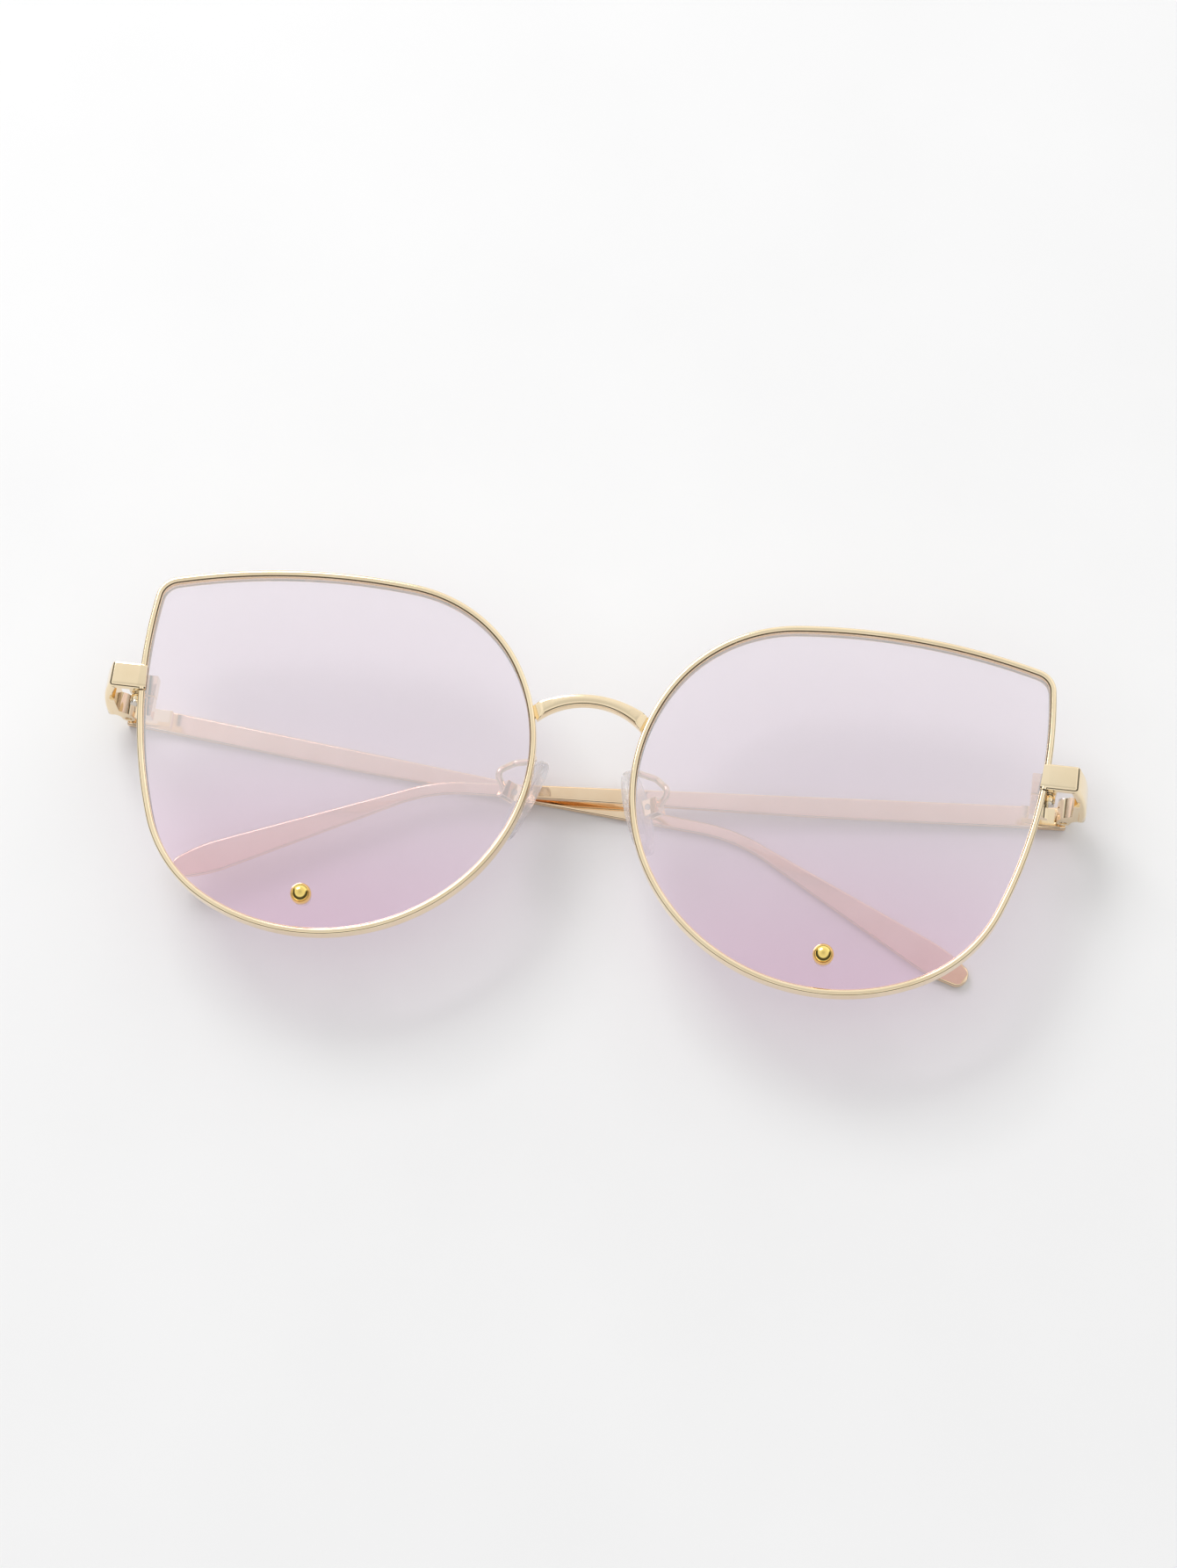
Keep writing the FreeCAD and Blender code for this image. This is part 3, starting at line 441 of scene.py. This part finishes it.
def strap_section(low, high, wall):
    """Flat face with a rounded lower edge and a narrow bevel above, as (y, depth) pairs."""
    points = [(low, wall - BACK_BEVEL), (low, 0.62)]
    for step in range(1, EDGE_STEPS):
        angle = math.radians(90.0 * step / EDGE_STEPS)
        y = low + EDGE_ROUND * (1 - math.cos(angle))
        points.append((y, EDGE_ROUND * (1 - math.sin(angle)) + EDGE_SINK))
    points += [(low + 0.66, 0.0), (high - 0.36, 0.0), (high - 0.14, 0.06), (high - 0.03, 0.2)]
    points += [(high, 0.36), (high, wall - BACK_BEVEL), (high - BACK_BEVEL, wall), (low + BACK_BEVEL, wall)]
    return points


# Bridge bar: half length, thickness, the tops and radii of its upper and lower arch, the middle
# radius that turns its sections, and how its ends slope back to the rims.
BRIDGE_HALF = 8.5
BRIDGE_WALL = 1.8
BRIDGE_TOP, BRIDGE_TOP_RADIUS = 13.42, 15.2
BRIDGE_LOW, BRIDGE_LOW_RADIUS = 11.85, 12.6
BRIDGE_TURN_RADIUS = 13.9
BRIDGE_SINK = 0.05
FOOT_START, FOOT_DROP, FOOT_PINCH = 0.85, 0.85, 0.25
FOOT_SHARES = (0.856, 0.9, 0.95, 1.0)


def arch(top, radius, x):
    """Height at x of an arch with its top at x 0."""
    return top - radius + math.sqrt(radius**2 - x**2)


def bridge():
    """Arched bar with a flat front, a rounded lower edge and ends that slope back to the rims."""
    rings = []
    middle_shares = [i / 20.0 for i in range(-17, 18)]
    left_foot = [-share for share in reversed(FOOT_SHARES)]
    for share in left_foot + middle_shares + list(FOOT_SHARES):
        x = BRIDGE_HALF * share
        top = arch(BRIDGE_TOP, BRIDGE_TOP_RADIUS, x)
        low = arch(BRIDGE_LOW, BRIDGE_LOW_RADIUS, x)
        lean = math.asin(x / BRIDGE_TURN_RADIUS)
        foot = max(0.0, abs(share) - FOOT_START) / (1.0 - FOOT_START)
        middle = (low + top) / 2
        ring = []
        for y, depth in strap_section(low, top - FOOT_PINCH * foot, BRIDGE_WALL):
            rise = y - middle
            z = FRONT_Z - BRIDGE_SINK - max(depth, FOOT_DROP * foot)
            ring.append((x + rise * math.sin(lean), middle + rise * math.sqrt(math.cos(lean)), z))
        rings.append(ring)
    finish_piece("bridge_bar", loft(rings), GOLD, "front", "bridge", 25.0)


# Temple strip, measured from the hinge axis as it lies folded on its outer face.
HINGE_X, HINGE_Y, HINGE_Z = 71.6, 7.3, 3.2
STRIP_INNER, STRIP_OUTER = -2.1, -3.2
STRIP_EDGE = 0.36
STRIP_INSET = 0.1
ROOT_HALF = 1.75
MIDDLE_HEIGHT, MIDDLE_START = 3.2, 38.0
WAIST_HEIGHT, BEND_START = 1.85, 90.0
BEND_RADIUS, BEND_ANGLE, BEND_STEPS = 27.0, 21.4, 12
TAIL_LENGTH, TAIL_WIDEST, TAIL_HALF = 35.9, 28.5, 2.35
TIP_REACH, TIP_HALF = 1.3, 1.7
TIP_ANGLES = (10, 25, 40, 55, 67, 77, 85)
STRIP_STATIONS = [-0.5, -0.42, -0.3, 0.5, 2.0, 5.0] + [8.0 + 3.0 * i for i in range(28)]
TAIL_STATIONS = (
    [2.0 * i for i in range(1, 15)]
    + [TAIL_WIDEST + 0.61 * i for i in range(1, 10)]
    + [TAIL_LENGTH - TIP_REACH * (1.0 - math.sin(math.radians(angle))) for angle in TIP_ANGLES]
)


def strip_height(along):
    """Height of the temple strip at a distance from the hinge, before its bend."""
    if along < MIDDLE_START:
        return 2 * ROOT_HALF + (MIDDLE_HEIGHT - 2 * ROOT_HALF) * max(0.0, along) / MIDDLE_START
    share = (along - MIDDLE_START) / (BEND_START - MIDDLE_START)
    return MIDDLE_HEIGHT + (WAIST_HEIGHT - MIDDLE_HEIGHT) * share


def tail_half(along):
    """Half height of the paddle at a distance behind the bend."""
    tip_start = TAIL_LENGTH - TIP_REACH
    if along <= TAIL_WIDEST:
        return WAIST_HEIGHT / 2 + (TAIL_HALF - WAIST_HEIGHT / 2) * along / TAIL_WIDEST
    if along <= tip_start:
        share = (along - TAIL_WIDEST) / (tip_start - TAIL_WIDEST)
        return TAIL_HALF + 0.2 * share * (1 - share) - (TAIL_HALF - TIP_HALF) * share**1.9
    share = (along - tip_start) / TIP_REACH
    return TIP_HALF * math.sqrt(max(0.0, 1 - share**2))


def on_strip(along, slope):
    """Middle of the strip before its bend, with its top edge kept straight at slope radians."""
    across = ROOT_HALF - strip_height(along) / 2
    x = along * math.cos(slope) + across * math.sin(slope)
    return x, across * math.cos(slope) - along * math.sin(slope)


def temple_stations(slope):
    """Stations (x, y, direction, half height) along a temple, from the hinge to the tip."""
    start = math.radians(slope)
    end = math.radians(slope + BEND_ANGLE)
    stations = []
    for along in STRIP_STATIONS:
        stations.append((*on_strip(along, start), start, strip_height(along) / 2))
    x0, y0 = on_strip(BEND_START, start)
    for step in range(1, BEND_STEPS + 1):
        angle = math.radians(slope + BEND_ANGLE * step / BEND_STEPS)
        x = x0 + BEND_RADIUS * (math.sin(angle) - math.sin(start))
        y = y0 + BEND_RADIUS * (math.cos(angle) - math.cos(start))
        stations.append((x, y, angle, WAIST_HEIGHT / 2))
    x0, y0 = stations[-1][:2]
    for along in TAIL_STATIONS:
        x, y = x0 + along * math.cos(end), y0 - along * math.sin(end)
        stations.append((x, y, end, tail_half(along)))
    return stations


def drawn_in(ring, amount):
    """The ring with each point moved towards its middle by about amount."""
    middle = Vector([sum(point[i] for point in ring) / len(ring) for i in range(3)])
    drawn = []
    for point in ring:
        offset = Vector(point) - middle
        drawn.append(tuple(middle + offset * (1 - amount / max(offset.length, 0.3))))
    return drawn


def temple(side, sign, slope, fold):
    """Strip with softly rounded edges, turned about the hinge axis by fold degrees."""
    rings = []
    turn = math.radians(fold)
    for x, y, angle, half in temple_stations(slope):
        ring = []
        edge = min(STRIP_EDGE, half * 0.6)
        for across, up in rounded(-half, half, STRIP_INNER, STRIP_OUTER, edge):
            px, py = x + across * math.sin(angle), y + across * math.cos(angle)
            away = px * math.cos(turn) - up * math.sin(turn)
            rise = px * math.sin(turn) + up * math.cos(turn)
            ring.append((sign * (HINGE_X - away), HINGE_Y + py, HINGE_Z + rise))
        rings.append(ring)
    rings[0] = drawn_in(rings[0], STRIP_INSET)
    name, body = side + "_temple_strip", side + "_temple"
    # The strip takes the gold copy with the painted shade and pink cast of the lenses.
    finish_piece(name, loft(rings), TEMPLE_GOLD_PAINTED_SHADE, body, side + "_temple")


# Bevel put on the machined small parts, in millimetres, and the least angle that gets one.
SOFT_EDGE = 0.07
SOFT_ANGLE = math.radians(40.0)
SOFT_PARTS = ("lock", "hinge", "box")


def soften(node):
    """Small round edges on a machined part, by modifiers only."""
    weld = node.modifiers.new("weld", "WELD")
    weld.merge_threshold = 0.001 * MM
    bevel = node.modifiers.new("edges", "BEVEL")
    bevel.width = SOFT_EDGE * MM
    bevel.segments = 2
    bevel.limit_method = "ANGLE"
    bevel.angle_limit = SOFT_ANGLE
    even = node.modifiers.new("even_normals", "WEIGHTED_NORMAL")
    even.keep_sharp = True


for name, node in nodes.items():
    if any(word in name for word in SOFT_PARTS):
        soften(node)

for side, sign in SIDES:
    rim(side, sign)
    lens(side, sign)
    endpiece(side, sign)
bridge()
# Slope of each temple in degrees, and how much further the inner one is folded.
temple("left", -1.0, 5.6, 0.0)
temple("right", 1.0, 4.8, 1.7)

# ------------------------------------------------------------- floor, world, lights
FLOOR_HALF = 3.0
FLOOR_GAP = 0.00005
floor_mesh = bpy.data.meshes.new("floor")
form = bmesh.new()
bmesh.ops.create_grid(form, x_segments=2, y_segments=2, size=FLOOR_HALF)
form.to_mesh(floor_mesh)
form.free()
floor = bpy.data.objects.new("floor", floor_mesh)
floor.location = (0.0, 0.0, -FLOOR_GAP)
bpy.context.scene.collection.objects.link(floor)
paper = bpy.data.materials.new("floor_paper")
t = Tree(paper)
shader = t.add("BsdfPrincipled")
shades = [(DARK_STOP, (0.86, 0.86, 0.86)), (LIGHT_STOP, (0.88, 0.88, 0.88))]
t.join(t.ramp(t.noise(25.0, 4.0), shades), shader.inputs["Base Color"])
shader.inputs["Roughness"].default_value = 0.6
t.finish(shader.outputs["BSDF"])
floor_mesh.materials.append(paper)

# Brightness of the studio by the height of the direction looked in, for the side behind the
# object and for the side of the photographer. The ramps hold a share of SKY_STRENGTH.
SKY_STRENGTH = 2.0
FAR_SKY = (
    (0.0, 0.12),
    (0.05, 0.08),
    (0.15, 1.3),
    (0.42, 1.3),
    (0.66, 1.0),
    (0.86, 0.95),
    (0.92, 0.87),
    (0.965, 0.72),
    (1.0, 0.68),
)
NEAR_SKY = ((0.0, 0.30), (0.07, 0.07), (0.46, 0.10), (0.62, 0.95), (0.90, 0.85), (1.0, 0.7))


def sky_ramp(t, height, levels):
    """Neutral greys of the given brightness levels, read at height."""
    return t.ramp(height, [(at, (level / SKY_STRENGTH,) * 3) for at, level in levels])


def between(t, value, low, high):
    """0 where value is low, 1 where it is high, and straight between."""
    node = t.add("MapRange")
    node.inputs["From Min"].default_value = low
    node.inputs["From Max"].default_value = high
    t.join(value, node.inputs["Value"])
    return node.outputs["Result"]


world = bpy.data.worlds.new("studio")
bpy.context.scene.world = world
t = Tree(world)
place = t.add("TexCoord")
split = t.add("SeparateXYZ")
t.join(place.outputs["Generated"], split.inputs["Vector"])
far_sky = sky_ramp(t, split.outputs["Z"], FAR_SKY)
near_sky = sky_ramp(t, split.outputs["Z"], NEAR_SKY)
sideways = t.add("Math", operation="ABSOLUTE")
t.join(split.outputs["X"], sideways.inputs[0])
behind = t.add("Math", operation="MULTIPLY")
t.join(between(t, split.outputs["Y"], -0.30, 0.12), behind.inputs[0])
t.join(between(t, sideways.outputs["Value"], 0.90, 0.76), behind.inputs[1])
sky = t.add("Mix", data_type="RGBA")
t.join(behind.outputs["Value"], sky.inputs["Factor"])
t.join(near_sky, sky.inputs["A"])
t.join(far_sky, sky.inputs["B"])
background = t.add("Background")
background.inputs["Strength"].default_value = SKY_STRENGTH
t.join(sky.outputs["Result"], background.inputs["Color"])
t.join(background.outputs["Background"], t.add("OutputWorld").inputs["Surface"])

# One large soft window, behind and to the left, aimed at the object.
WINDOW_PLACE = Vector((-0.65, 0.95, 1.05))
WINDOW_WIDTH, WINDOW_HEIGHT = 0.80, 0.60
WINDOW_POWER = 9.8
window_data = bpy.data.lights.new("window", "AREA")
window_data.shape = "RECTANGLE"
window_data.size = WINDOW_WIDTH
window_data.size_y = WINDOW_HEIGHT
window_data.energy = WINDOW_POWER
window = bpy.data.objects.new("window", window_data)
window.location = WINDOW_PLACE
window.rotation_euler = (-WINDOW_PLACE).to_track_quat("-Z", "Y").to_euler()
bpy.context.scene.collection.objects.link(window)
